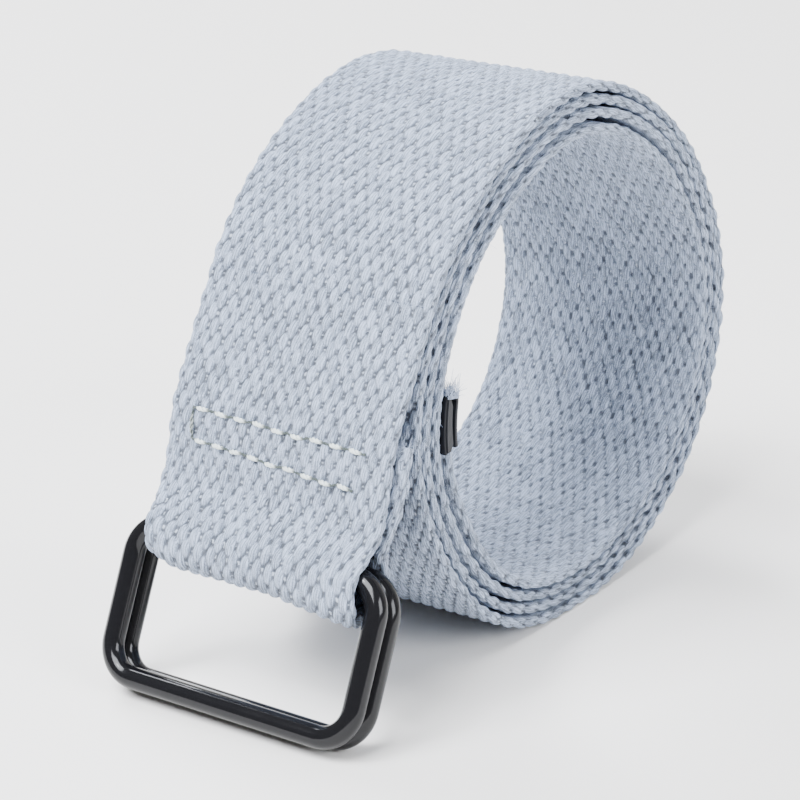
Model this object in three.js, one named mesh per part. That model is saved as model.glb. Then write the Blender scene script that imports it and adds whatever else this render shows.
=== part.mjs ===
// A double ring belt, rolled up: a cotton webbing strap, two wire rings and a metal end tip.
// Sizes are in millimetres and angles in degrees. +Z is up, the roll's axis lies along X,
// and the rings stand in front of the roll, towards -Y.
import * as THREE from "three";

// Webbing
const strapWidth = 38;
const strapThickness = 1.4;
const selvageBevel = 0.35;

// Roll: its outside radius, the gap where the turns are tightest, and where the outer turn leaves
const rollRadius = 43;
const turnGap = 0.3;
const turnCount = 4;
const leaveAngle = 25;
const endAngle = 10;
const restDip = 0.15;

// Rings, lying against each other
const wireDiameter = 3.1;
const ringInsideHeight = 19;
const ringSideClearance = 0.3;
const ringCornerRadius = 4.8;
const ringLean = 23.7;
const ringGap = 0.2;

// Loop round the rings' bars and the tail that is sewn behind the front run
const barReach = 53.7;
const barClearance = 0.35;
const loopSlack = 2;
const loopSqueeze = 1.8;
const squeezeRun = 5;
const tailLength = 19;
const tailGap = 0.7;
const tailJoin = 9;
const tailSlant = 18;

// End tip
const tipLength = 10.5;
const tipPlate = 0.6;
const tipClearance = 0.3;
const tipOverhang = 0.3;
const tipBevel = 0.1;
const tipRamp = 45;

// Steps of the faceted surfaces
const turnStep = 5;
const bendStep = 22.5;
const tipBendStep = 36;
const cornerStep = 15;
const runStep = 3;
const wireSides = 12;

// The roll's form round its axis, from the front (0) over the top (90) to the back (180).
// radius is the outside radius as a share of rollRadius, looseness the gap to the next
// turn as a share of turnGap. The rows are evenly spaced.
const turnForm = [
  { angle: 0, radius: 1.047, looseness: 2.33 },
  { angle: 30, radius: 1.026, looseness: 2.5 },
  { angle: 60, radius: 0.988, looseness: 2.33 },
  { angle: 90, radius: 0.981, looseness: 2.17 },
  { angle: 120, radius: 0.962, looseness: 1.77 },
  { angle: 150, radius: 0.993, looseness: 1.77 },
  { angle: 180, radius: 1.053, looseness: 1.2 },
  { angle: 210, radius: 1.047, looseness: 1 },
  { angle: 240, radius: 0.979, looseness: 1 },
  { angle: 270, radius: 0.947, looseness: 1.33 },
  { angle: 300, radius: 0.981, looseness: 2.1 },
  { angle: 330, radius: 0.998, looseness: 2.17 },
];

// The front run's form between the loop and the roll, as shares of the straight way
// between them: how far along it, and how far back from it.
const frontForm = [
  { along: 0.16, back: 0.045 },
  { along: 0.28, back: 0.034 },
  { along: 0.455, back: -0.004 },
  { along: 0.63, back: -0.009 },
];

const fullTurn = 360;
const radians = THREE.MathUtils.degToRad;

function along(start, direction, distance) {
  return start.clone().addScaledVector(direction, distance);
}

// Catmull-Rom curve through one column of the form table, closed round the turn.
function formAt(angle, column) {
  const rows = turnForm.length;
  const place = (THREE.MathUtils.euclideanModulo(angle, fullTurn) / fullTurn) * rows;
  const row = Math.floor(place);
  const t = place - row;
  const columnAt = (shift) => turnForm[(row + shift + rows) % rows][column];
  const [before, start, end, after] = [-1, 0, 1, 2].map(columnAt);
  const slopeIn = (end - before) / 2;
  const slopeOut = (after - start) / 2;
  const rise = end - start;
  const bend = 3 * rise - 2 * slopeIn - slopeOut;
  return start + t * (slopeIn + t * (bend + t * (slopeIn + slopeOut - 2 * rise)));
}

function turnSpacing(angle) {
  return strapThickness + turnGap * formAt(angle, "looseness");
}

// The tip is thicker than the webbing, so the last stretch moves in to make room for it.
const lastAngle = turnCount * fullTurn + endAngle;
const tipThickness = strapThickness + 2 * (tipClearance + tipPlate);
const tipRoom = (tipThickness + strapThickness) / 2 + turnGap;
const tipAngles = THREE.MathUtils.radToDeg(tipLength / (rollRadius - turnCount * turnSpacing(lastAngle)));
const tipMoveIn = Math.max(0, tipRoom - turnSpacing(lastAngle), tipRoom - turnSpacing(lastAngle - tipAngles));

// Radius of the webbing's middle at an angle counted on through the turns.
function turnRadius(angle) {
  const outside = rollRadius * formAt(angle, "radius") - (turnSpacing(angle) * angle) / fullTurn;
  const moveInEnd = lastAngle - tipAngles;
  const movedIn = THREE.MathUtils.smoothstep(angle, moveInEnd - tipRamp, moveInEnd);
  return outside - strapThickness / 2 - tipMoveIn * movedIn;
}

function aroundRoll(angle, radius) {
  return new THREE.Vector2(-radius * Math.cos(radians(angle)), radius * Math.sin(radians(angle)));
}

// The roll sinks a little under its own weight, so that its lowest turn lies flat.
const anglesRound = Array.from({ length: fullTurn / turnStep }, (_, index) => index * turnStep);
const rollDrop = Math.max(...anglesRound.map((angle) => -aroundRoll(angle, turnRadius(angle)).y));
const rollHeight = rollDrop + strapThickness / 2 - restDip;

// A point of the webbing's middle in the upright plane, as (y, z).
function turnPoint(angle) {
  const point = aroundRoll(angle, turnRadius(angle));
  const height = point.y + rollHeight;
  return new THREE.Vector2(point.x, Math.max(height, strapThickness / 2));
}

// Rings: middle lines of the wire, and the two bars that the loop holds.
const ringWidth = strapWidth + 2 * ringSideClearance + wireDiameter;
const ringHeight = ringInsideHeight + wireDiameter;
const lean = radians(ringLean);
const downRings = new THREE.Vector2(-Math.sin(lean), -Math.cos(lean));
const frontNormal = new THREE.Vector2(-Math.cos(lean), Math.sin(lean));
const barSpacing = wireDiameter + ringGap;
const backBarHeight = wireDiameter / 2 + ringHeight * Math.cos(lean);
const frontBar = new THREE.Vector2(-barReach, backBarHeight + barSpacing * Math.sin(lean));
const backBar = along(frontBar, frontNormal, -barSpacing);
const bendRadius = wireDiameter / 2 + barClearance + strapThickness / 2;

function normalAt(angle) {
  return new THREE.Vector2(Math.cos(radians(angle)), Math.sin(radians(angle)));
}

// The front run, from beside the front bar up to where the strap meets the roll.
function frontRun() {
  const foot = along(frontBar, frontNormal, bendRadius);
  const top = turnPoint(leaveAngle);
  const way = top.clone().sub(foot);
  const backward = new THREE.Vector2(way.y, -way.x);
  const between = frontForm.map((row) => along(along(foot, way, row.along), backward, row.back));
  return new THREE.SplineCurve([foot, ...between, top]);
}

// Points of a curve between two distances along it, ends included.
function stretch(curve, from, to) {
  const length = curve.getLength();
  const steps = Math.max(1, Math.round(Math.abs(to - from) / runStep));
  return Array.from({ length: steps + 1 }, (_, index) => {
    const distance = THREE.MathUtils.lerp(from, to, index / steps);
    return curve.getPointAt(THREE.MathUtils.clamp(distance / length, 0, 1));
  });
}

function arc(centre, radius, from, to, step) {
  const steps = Math.max(1, Math.ceil(Math.abs(to - from) / step));
  return Array.from({ length: steps + 1 }, (_, index) =>
    along(centre, normalAt(THREE.MathUtils.lerp(from, to, index / steps)), radius));
}

// The tail lies behind the front run, so it is that run moved back by its spacing.
function tailPoints(run) {
  const spacing = strapThickness + tailGap;
  const length = run.getLength();
  return stretch(run, tailLength, tailJoin).map((point, index, points) => {
    const distance = THREE.MathUtils.lerp(tailLength, tailJoin, index / (points.length - 1));
    const upward = run.getTangentAt(distance / length);
    return along(point, new THREE.Vector2(upward.y, -upward.x), spacing);
  });
}

// The strap's middle line from the tail's cut end to the end in the tip.
function strapLine() {
  const down = 270;
  const run = frontRun();
  const tail = tailPoints(run);
  const join = tail[tail.length - 1];
  const backCentre = along(backBar, downRings, loopSlack);
  const frontCentre = along(frontBar, downRings, loopSlack);
  const backBend = [
    ...arc(backBar, bendRadius, fullTurn + tailSlant, fullTurn - ringLean, bendStep),
    ...arc(backCentre, bendRadius, fullTurn - ringLean, down - ringLean, bendStep),
  ];
  const frontBend = arc(frontCentre, bendRadius, down - ringLean, fullTurn / 2 - ringLean, bendStep);
  const handle = join.distanceTo(backBend[0]) / 3;
  const upTail = normalAt(fullTurn / 4 + tailSlant);
  const bow = new THREE.CubicBezierCurve(
    join, along(join, downRings, handle), along(backBend[0], upTail, handle), backBend[0]);
  const rise = stretch(run, 0, run.getLength());
  const turns = [];
  const turnSteps = Math.round((lastAngle - leaveAngle) / turnStep);
  for (let index = 1; index <= turnSteps; index += 1) {
    turns.push(turnPoint(THREE.MathUtils.lerp(leaveAngle, lastAngle, index / turnSteps)));
  }
  const loopStart = tail.length + stretch(bow, 0, bow.getLength()).length - 2;
  const points = [
    ...tail,
    ...stretch(bow, 0, bow.getLength()).slice(1, -1),
    ...backBend,
    ...frontBend,
    ...rise,
    ...turns,
  ];
  return { points, loopStart, loopEnd: loopStart + backBend.length + frontBend.length - 1 };
}

// Distance of each point along the line.
function distancesAlong(points) {
  const distances = [0];
  for (let index = 1; index < points.length; index += 1) {
    distances.push(distances[index - 1] + points[index].distanceTo(points[index - 1]));
  }
  return distances;
}

// The webbing is squeezed narrower where it goes through the rings, and until it is past their corners.
function strapHalfWidths({ points, loopStart, loopEnd }) {
  const distances = distancesAlong(points);
  const squeezed = loopSlack + strapThickness;
  return distances.map((distance) => {
    const away = Math.max(0, distances[loopStart] - distance, distance - distances[loopEnd]);
    const squeeze = 1 - THREE.MathUtils.smoothstep(away, squeezed, squeezed + squeezeRun);
    return strapWidth / 2 - loopSqueeze * squeeze;
  });
}

// A closed surface through sections of equal point count. Caps are fans.
function skin(sections, closed) {
  const sides = sections[0].length;
  const positions = sections.flat().flatMap((point) => [point.x, point.y, point.z]);
  const indices = [];
  const bands = closed ? sections.length : sections.length - 1;
  for (let band = 0; band < bands; band += 1) {
    const near = band * sides;
    const far = ((band + 1) % sections.length) * sides;
    for (let side = 0; side < sides; side += 1) {
      const next = (side + 1) % sides;
      indices.push(near + side, near + next, far + next);
      indices.push(near + side, far + next, far + side);
    }
  }
  if (!closed) {
    const last = bands * sides;
    for (let side = 1; side < sides - 1; side += 1) {
      indices.push(0, side + 1, side);
      indices.push(last, last + side, last + side + 1);
    }
  }
  const geometry = new THREE.BufferGeometry();
  geometry.setAttribute("position", new THREE.Float32BufferAttribute(positions, 3));
  geometry.setIndex(indices);
  geometry.computeVertexNormals();
  return geometry;
}

// A flat strip carried along a line in the upright plane, its long edges bevelled.
function strip(points, halfWidths, thickness, bevel) {
  const half = thickness / 2;
  const sections = points.map((point, index) => {
    const before = points[Math.max(0, index - 1)];
    const after = points[Math.min(points.length - 1, index + 1)];
    const forward = after.clone().sub(before).normalize();
    const side = halfWidths[index];
    const outline = [
      [-side + bevel, half],
      [side - bevel, half],
      [side, half - bevel],
      [side, bevel - half],
      [side - bevel, -half],
      [bevel - side, -half],
      [-side, bevel - half],
      [-side, half - bevel],
    ];
    return outline.map(([x, offset]) =>
      new THREE.Vector3(x, point.x - forward.y * offset, point.y + forward.x * offset));
  });
  return skin(sections, false);
}

// A wire ring hanging from the X axis: a rectangle with round corners.
function ringGeometry() {
  const reach = ringWidth / 2 - ringCornerRadius;
  const corners = [
    { x: reach, z: -ringCornerRadius, from: 90 },
    { x: reach, z: ringCornerRadius - ringHeight, from: 0 },
    { x: -reach, z: ringCornerRadius - ringHeight, from: -90 },
    { x: -reach, z: -ringCornerRadius, from: -180 },
  ];
  const sections = corners.flatMap(({ x, z, from }) => {
    const steps = fullTurn / 4 / cornerStep;
    return Array.from({ length: steps + 1 }, (_, index) => {
      const outward = normalAt(from - index * cornerStep);
      const middle = new THREE.Vector3(x + ringCornerRadius * outward.x, 0, z + ringCornerRadius * outward.y);
      return Array.from({ length: wireSides }, (_, side) => {
        const round = normalAt((-side * fullTurn) / wireSides).multiplyScalar(wireDiameter / 2);
        return middle.clone().add(new THREE.Vector3(outward.x * round.x, round.y, outward.y * round.x));
      });
    });
  });
  return skin(sections, true);
}

// The tip's plate runs up the webbing's outer face, round its end and down the inner face.
function tipPoints(strapPoints) {
  const distances = distancesAlong(strapPoints);
  const length = distances[distances.length - 1];
  const covered = strapPoints.filter((_, index) => distances[index] > length - tipLength);
  const end = covered[covered.length - 1];
  const upward = end.clone().sub(covered[covered.length - 2]).normalize();
  const outward = new THREE.Vector2(-upward.y, upward.x);
  const offset = strapThickness / 2 + tipClearance + tipPlate / 2;
  const endAngleOut = THREE.MathUtils.radToDeg(outward.angle());
  const beside = (sign) => covered.slice(0, -1).map((point, index) => {
    const forward = covered[index + 1].clone().sub(covered[Math.max(0, index - 1)]).normalize();
    return along(point, new THREE.Vector2(-forward.y, forward.x), sign * offset);
  });
  return [
    ...beside(1),
    ...arc(end, offset, endAngleOut, endAngleOut - fullTurn / 2, tipBendStep),
    ...beside(-1).reverse(),
  ];
}

const webbing = new THREE.MeshStandardMaterial({ color: 0xb9c6d2, roughness: 0.95, metalness: 0 });
const blackWire = new THREE.MeshStandardMaterial({ color: 0x101114, roughness: 0.25, metalness: 0.3 });
const darkMetal = new THREE.MeshStandardMaterial({ color: 0x1c1c20, roughness: 0.35, metalness: 0.8 });

function named(name, geometry, material) {
  const mesh = new THREE.Mesh(geometry, material);
  mesh.name = name;
  return mesh;
}

const line = strapLine();
const strapStrip = strip(line.points, strapHalfWidths(line), strapThickness, selvageBevel);
const strap = named("strap", strapStrip, webbing);

const ringFront = named("ring_front", ringGeometry(), blackWire);
ringFront.position.set(0, frontBar.x, frontBar.y);
ringFront.rotation.x = -lean;
const ringBack = named("ring_back", ringGeometry(), blackWire);
ringBack.position.set(0, backBar.x, backBar.y);
ringBack.rotation.x = -lean;

const tipLine = tipPoints(line.points);
const tipHalfWidths = tipLine.map(() => strapWidth / 2 + tipOverhang);
const endTip = named("end_tip", strip(tipLine, tipHalfWidths, tipPlate, tipBevel), darkMetal);

// The origin is under the middle of the whole belt.
const pieces = new THREE.Group();
pieces.add(strap, ringFront, ringBack, endTip);
const box = new THREE.Box3().setFromObject(pieces, true);
pieces.position.set(0, -(box.min.y + box.max.y) / 2, -box.min.z);

const belt = new THREE.Group();
belt.add(pieces);
export default belt;
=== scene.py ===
"""Looks of a rolled double ring belt: cotton webbing, two wire rings, an end tip and white stitching."""

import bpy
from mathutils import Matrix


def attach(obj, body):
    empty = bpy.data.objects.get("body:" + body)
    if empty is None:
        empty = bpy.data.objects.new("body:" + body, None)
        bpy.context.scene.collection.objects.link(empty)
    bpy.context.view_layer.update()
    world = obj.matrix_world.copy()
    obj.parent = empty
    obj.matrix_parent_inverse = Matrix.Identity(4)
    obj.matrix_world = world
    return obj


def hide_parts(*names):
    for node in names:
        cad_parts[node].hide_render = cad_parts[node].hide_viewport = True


bl_info = {
    "name": "Double Ring Belt",
    "version": (1, 0, 0),
    "blender": (4, 5, 0),
    "location": "3D View > Sidebar > Belt",
    "description": "Builds a rolled webbing belt with its rings, stitching and end tip",
    "category": "Object",
}

import bpy
import numpy as np
from bpy.props import FloatProperty, FloatVectorProperty, PointerProperty
from mathutils import Matrix, Vector

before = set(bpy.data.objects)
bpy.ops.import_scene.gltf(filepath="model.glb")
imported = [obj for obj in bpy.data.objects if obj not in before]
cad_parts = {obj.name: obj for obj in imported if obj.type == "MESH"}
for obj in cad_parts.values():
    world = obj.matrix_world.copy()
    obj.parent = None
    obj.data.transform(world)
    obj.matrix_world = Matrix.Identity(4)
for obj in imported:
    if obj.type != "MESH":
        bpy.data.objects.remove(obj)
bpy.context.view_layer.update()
MM = 0.001

# The strap's line, in millimetres and degrees, as in the part. The roll's form round its axis is (angle, share
# of the outside radius, looseness of the turns). The front run's form is (share of the way from the loop up to
# the roll, share of that way backwards).
TURN_FORM = np.array([
    (0, 1.047, 2.33), (30, 1.026, 2.5), (60, 0.988, 2.33), (90, 0.981, 2.17),
    (120, 0.962, 1.77), (150, 0.993, 1.77), (180, 1.053, 1.2), (210, 1.047, 1.0),
    (240, 0.979, 1.0), (270, 0.947, 1.33), (300, 0.981, 2.1), (330, 0.998, 2.17),
])
FRONT_FORM = np.array([(0.16, 0.045), (0.28, 0.034), (0.455, -0.004), (0.63, -0.009)])
ROLL_RADIUS = 43.0
WALL = 1.4
TURN_GAP = 0.3
LEAVE_ANGLE = 25.0
LAST_ANGLE = 1450.0
ROLL_CENTRE = np.array([9.863, 39.2])
RING_LEAN = np.radians(23.7)
RING_HEIGHT = 22.1
RING_WIDTH = 41.7
RING_CORNER = 4.8
WIRE = 3.1
BAR_SPACING = 3.3
BAR_REACH = 53.7
BEND_RADIUS = 2.6
LOOP_SLACK = 2.0
TAIL_SPACING = 2.1
TAIL_LENGTH = 19.0
TAIL_JOIN = 9.0
TAIL_SLANT = 18.0
TIP_LENGTH = 10.5
TIP_OFFSET = 1.3
TIP_ROOM = 2.3

# Lengths and angles that aren't named in the part. The tip's fold lies TIP_RISE before the strap's end and its
# open end TIP_REACH before it. The strap moves in for the tip over TIP_EASE.
TIP_RISE = 2.1
TIP_REACH = 9.1
TIP_EASE = 45.0
STRAP_WIDTH = 38.0
ROLL_STEPS = 6000
FLOOR_CLEARANCE = 0.03
CLOTH_UNIT = 100.0


def smoothstep(value, low, high):
    """0 below low, 1 above high, and 3t^2 - 2t^3 between them."""
    t = np.clip((value - low) / (high - low), 0, 1)
    return t * t * (3 - 2 * t)


def direction(angle):
    """Unit vector (cos, sin) of an angle in degrees."""
    return np.stack([np.cos(np.radians(angle)), np.sin(np.radians(angle))], -1)


def between_knots(before, start, end, after, t):
    """Cubic from start at t = 0 to end at t = 1, its slopes there (end - before)/2 and (after - start)/2."""
    slope_in, slope_out = (end - before) / 2, (after - start) / 2
    rise = end - start
    steep = 3 * rise - 2 * slope_in - slope_out
    return start + t * (slope_in + t * (steep + t * (slope_in + slope_out - 2 * rise)))


def form_at(angle, column):
    """Closed Catmull-Rom curve through one column of the roll's form table."""
    rows = len(TURN_FORM)
    place = np.mod(angle, 360) / 360 * rows
    row = np.floor(place).astype(int)
    t = place - row
    return between_knots(*(TURN_FORM[(row + shift) % rows, column] for shift in (-1, 0, 1, 2)), t)


def turn_spacing(angle):
    """Distance from one turn's middle to the next one's."""
    return WALL + TURN_GAP * form_at(angle, 2)


def lifted(angle):
    """How far the second and the third turn lie out against the first near the top of the roll."""
    local = np.mod(angle, 360)
    near_top = smoothstep(local, 15, 60) * (1 - smoothstep(local, 110, 155))
    second, third = (angle >= 360) & (angle < 720), (angle >= 720) & (angle < 1080)
    return near_top * np.select([second, third], [0.15, 0.3], 0.0)


def roll_line(angle):
    """Spiral: the outside radius less one spacing a turn, moved in at the end to make room for the tip, and
    nowhere below the floor."""
    tip_angles = np.degrees(TIP_LENGTH / (ROLL_RADIUS - 4 * turn_spacing(LAST_ANGLE)))
    move = max(0.0, TIP_ROOM + TURN_GAP - turn_spacing(LAST_ANGLE))
    outside = ROLL_RADIUS * form_at(angle, 1) - turn_spacing(angle) * angle / 360 + lifted(angle)
    moved_in = smoothstep(angle, LAST_ANGLE - tip_angles - TIP_EASE, LAST_ANGLE - tip_angles)
    radius = outside - WALL / 2 - move * moved_in
    points = direction(180 - angle) * radius[:, None] + ROLL_CENTRE
    return np.stack([points[:, 0], np.maximum(points[:, 1], WALL / 2)], -1)


def catmull_rom(knots, steps):
    """Open Catmull-Rom curve through the knots, its first and last knots repeated."""
    padded = np.concatenate([knots[:1], knots, knots[-1:]])
    place = np.linspace(0, len(knots) - 1, steps)
    row = np.minimum(place.astype(int), len(knots) - 2)
    t = (place - row)[:, None]
    return between_knots(*(padded[row + shift] for shift in range(4)), t)


def lengths_along(points):
    """Distance of each point along its line."""
    return np.concatenate([[0], np.cumsum(np.linalg.norm(np.diff(points, axis=0), axis=1))])


def at_distance(points, distance):
    """Points of a line at distances along it."""
    lengths = lengths_along(points)
    return np.stack([np.interp(distance, lengths, points[:, axis]) for axis in range(points.shape[1])], -1)


def unit(vectors):
    """Vectors divided by their lengths."""
    return vectors / np.linalg.norm(vectors, axis=1, keepdims=True)


def tangents(points):
    """Unit directions of a line at its points."""
    return unit(np.gradient(points, axis=0))


def arc(centre, radius, start, end, steps=60):
    """Part of a circle from one angle to another, in degrees."""
    return centre + radius * direction(np.linspace(start, end, steps))


DOWN_RINGS = np.array([-np.sin(RING_LEAN), -np.cos(RING_LEAN)])
FRONT_NORMAL = np.array([-np.cos(RING_LEAN), np.sin(RING_LEAN)])
FRONT_BAR = np.array([
    ROLL_CENTRE[0] - BAR_REACH,
    WIRE / 2 + RING_HEIGHT * np.cos(RING_LEAN) + BAR_SPACING * np.sin(RING_LEAN),
])
BACK_BAR = FRONT_BAR - BAR_SPACING * FRONT_NORMAL


def strap_line():
    """The webbing's middle from the tail's cut end, round the bars, up the front run and in through the
    turns. Gives the points, and the distances where the loop starts and ends and where the roll starts."""
    lean = np.degrees(RING_LEAN)
    foot = FRONT_BAR + BEND_RADIUS * FRONT_NORMAL
    top = roll_line(np.array([LEAVE_ANGLE]))[0]
    way = top - foot
    backward = np.array([way[1], -way[0]])
    run = catmull_rom(np.array([foot, *(foot + way * a + backward * b for a, b in FRONT_FORM), top]), 1200)
    tail_distance = np.linspace(TAIL_LENGTH, TAIL_JOIN, 80)
    lengths = lengths_along(run)
    upward = np.stack([np.interp(tail_distance, lengths, tangents(run)[:, axis]) for axis in (0, 1)], -1)
    tail = at_distance(run, tail_distance) + TAIL_SPACING * np.stack([upward[:, 1], -upward[:, 0]], -1)
    over_bar = arc(BACK_BAR, BEND_RADIUS, 360 + TAIL_SLANT, 360 - lean)
    under_back = arc(BACK_BAR + LOOP_SLACK * DOWN_RINGS, BEND_RADIUS, 360 - lean, 270 - lean)
    under_front = arc(FRONT_BAR + LOOP_SLACK * DOWN_RINGS, BEND_RADIUS, 270 - lean, 180 - lean)
    handle = np.linalg.norm(tail[-1] - over_bar[0]) / 3
    knots = [
        tail[-1], tail[-1] + handle * DOWN_RINGS,
        over_bar[0] + handle * direction(90 + TAIL_SLANT), over_bar[0],
    ]
    t = np.linspace(0, 1, 60)[:, None]
    shares = [(1 - t) ** 3, 3 * t * (1 - t) ** 2, 3 * t * t * (1 - t), t ** 3]
    bow = sum(share * knot for share, knot in zip(shares, knots))
    before_run = np.concatenate([tail, bow[1:], over_bar[1:], under_back, under_front])
    to_loop = lengths_along(np.concatenate([tail, bow]))[-1]
    to_run = lengths_along(before_run)[-1]
    turns = roll_line(np.linspace(LEAVE_ANGLE, LAST_ANGLE, ROLL_STEPS))
    points = np.concatenate([before_run, run, turns[1:]])
    points = points[np.concatenate([[True], np.linalg.norm(np.diff(points, axis=0), axis=1) > 1e-6])]
    to_roll = lengths_along(np.concatenate([before_run, run]))[-1]
    return points, to_loop, to_run, to_roll


LINE, LOOP_START, LOOP_END, ROLL_START = strap_line()
LINE_LENGTHS = lengths_along(LINE)
STRAP_LENGTH = LINE_LENGTHS[-1]
TIP_FOLD = STRAP_LENGTH - TIP_RISE
TIP_START = STRAP_LENGTH - TIP_REACH
ROLL_ANGLES = np.linspace(LEAVE_ANGLE, LAST_ANGLE, ROLL_STEPS)
ROLL_DISTANCES = ROLL_START + lengths_along(roll_line(ROLL_ANGLES))


def angle_at(distance):
    """Angle round the roll at a distance along the strap, counted on through the turns."""
    return np.interp(distance, ROLL_DISTANCES, ROLL_ANGLES)


def distance_at(angle):
    """Distance along the strap at an angle round the roll."""
    return float(np.interp(angle, ROLL_ANGLES, ROLL_DISTANCES))


def heading(distance, step=0.3):
    """Unit direction of the strap's line and its outward normal, at distances along it."""
    ahead = unit(at_distance(LINE, distance + step) - at_distance(LINE, distance - step))
    return ahead, np.stack([-ahead[:, 1], ahead[:, 0]], -1)


# Meshes


def grid_quads(rows, columns):
    """Quads of a grid whose columns close on themselves, as vertex indices."""
    row, column = np.meshgrid(np.arange(rows - 1), np.arange(columns), indexing="ij")
    follow = (column + 1) % columns
    here, above = row * columns, (row + 1) * columns
    return np.stack([here + column, here + follow, above + follow, above + column], -1).reshape(-1, 4)


def fan(centre, ring):
    """Triangles from a centre vertex to a ring of vertices."""
    return np.stack([np.full(len(ring), centre), ring, np.roll(ring, -1)], -1)


def end_fans(count, columns):
    """Triangles that close both ends of a grid of count vertices, whose two centre vertices follow it."""
    ring = np.arange(columns)
    return np.concatenate([fan(count, ring)[:, ::-1], fan(count + 1, count - columns + ring)])


def add_piece(name, points, quads, triangles, material, uv=None, values=None):
    """A smooth mesh object from points in millimetres. uv is given for each corner of the faces, and values are
    named numbers for each vertex."""
    mesh = bpy.data.meshes.new(name)
    mesh.vertices.add(len(points))
    mesh.vertices.foreach_set("co", (np.asarray(points) * MM).astype(np.float32).ravel())
    corners = np.concatenate([quads.ravel(), triangles.ravel()]).astype(np.int32)
    totals = np.concatenate([np.full(len(quads), 4), np.full(len(triangles), 3)]).astype(np.int32)
    mesh.loops.add(len(corners))
    mesh.loops.foreach_set("vertex_index", corners)
    mesh.polygons.add(len(totals))
    starts = np.concatenate([[0], np.cumsum(totals)[:-1]]).astype(np.int32)
    mesh.polygons.foreach_set("loop_start", starts)
    if uv is not None:
        layer = mesh.uv_layers.new(name="cloth")
        layer.data.foreach_set("uv", np.asarray(uv, np.float32).ravel())
    for label, numbers in (values or {}).items():
        attribute = mesh.attributes.new(label, "FLOAT", "POINT")
        attribute.data.foreach_set("value", np.asarray(numbers, np.float32).ravel())
    mesh.update(calc_edges=True)
    mesh.validate()
    mesh.materials.append(material)
    mesh.shade_smooth()
    piece = bpy.data.objects.new(name, mesh)
    bpy.context.scene.collection.objects.link(piece)
    return piece


def tube(path, across, radius, sides, closed):
    """A round profile carried along a path: point = path + radius (cos a · upright + sin a · side), where side
    is square to the path and to across, and upright to the path and to side. Gives the points and faces,
    capped where the path is open."""
    ahead = unit(np.roll(path, -1, axis=0) - np.roll(path, 1, axis=0)) if closed else tangents(path)
    side = unit(np.cross(ahead, across))
    upright = np.cross(side, ahead)
    angle = np.linspace(0, 2 * np.pi, sides, endpoint=False)
    radius = np.broadcast_to(radius, (len(path),))[:, None, None]
    cosine, sine = np.cos(angle)[None, :, None], np.sin(angle)[None, :, None]
    points = (path[:, None] + radius * (cosine * upright[:, None] + sine * side[:, None])).reshape(-1, 3)
    quads = grid_quads(len(path), sides)
    if closed:
        last = (len(path) - 1) * sides + np.arange(sides)
        first = np.arange(sides)
        joint = np.stack([last, np.roll(last, -1), np.roll(first, -1), first], -1)
        return points, np.concatenate([quads, joint]), np.zeros((0, 3), int)
    count = len(points)
    points = np.concatenate([points, path[:1], path[-1:]])
    return points, quads, end_fans(count, sides)


def gather(parts):
    """Several (points, quads, triangles) as one."""
    counts = np.concatenate([[0], np.cumsum([len(points) for points, _, _ in parts])])
    return (
        np.concatenate([points for points, _, _ in parts]),
        np.concatenate([quads + start for (_, quads, _), start in zip(parts, counts)]),
        np.concatenate([triangles + start for (_, _, triangles), start in zip(parts, counts)]),
    )


# Materials


class Value:
    """A socket that carries a number, with the sums that the materials need."""

    def __init__(self, graph, socket):
        self.graph, self.socket = graph, socket

    def maths(self, operation, *others, swapped=False):
        inputs = [other.socket if isinstance(other, Value) else other for other in others]
        inputs = [*inputs, self.socket] if swapped else [self.socket, *inputs]
        node = self.graph.node("ShaderNodeMath", {"operation": operation}, dict(enumerate(inputs)))
        return Value(self.graph, node.outputs[0])

    def __add__(self, other):
        return self.maths("ADD", other)

    def __radd__(self, other):
        return self.maths("ADD", other, swapped=True)

    def __sub__(self, other):
        return self.maths("SUBTRACT", other)

    def __rsub__(self, other):
        return self.maths("SUBTRACT", other, swapped=True)

    def __mul__(self, other):
        return self.maths("MULTIPLY", other)

    def __rmul__(self, other):
        return self.maths("MULTIPLY", other, swapped=True)

    def clamped(self):
        return self.maths("MINIMUM", 1.0).maths("MAXIMUM", 0.0)

    def between(self, low, high):
        """Smoothly from 0 at low to 1 at high."""
        node = self.graph.node(
            "ShaderNodeMapRange", {"interpolation_type": "SMOOTHSTEP"},
            {"Value": self.socket, "From Min": low, "From Max": high},
        )
        return Value(self.graph, node.outputs["Result"])


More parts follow.
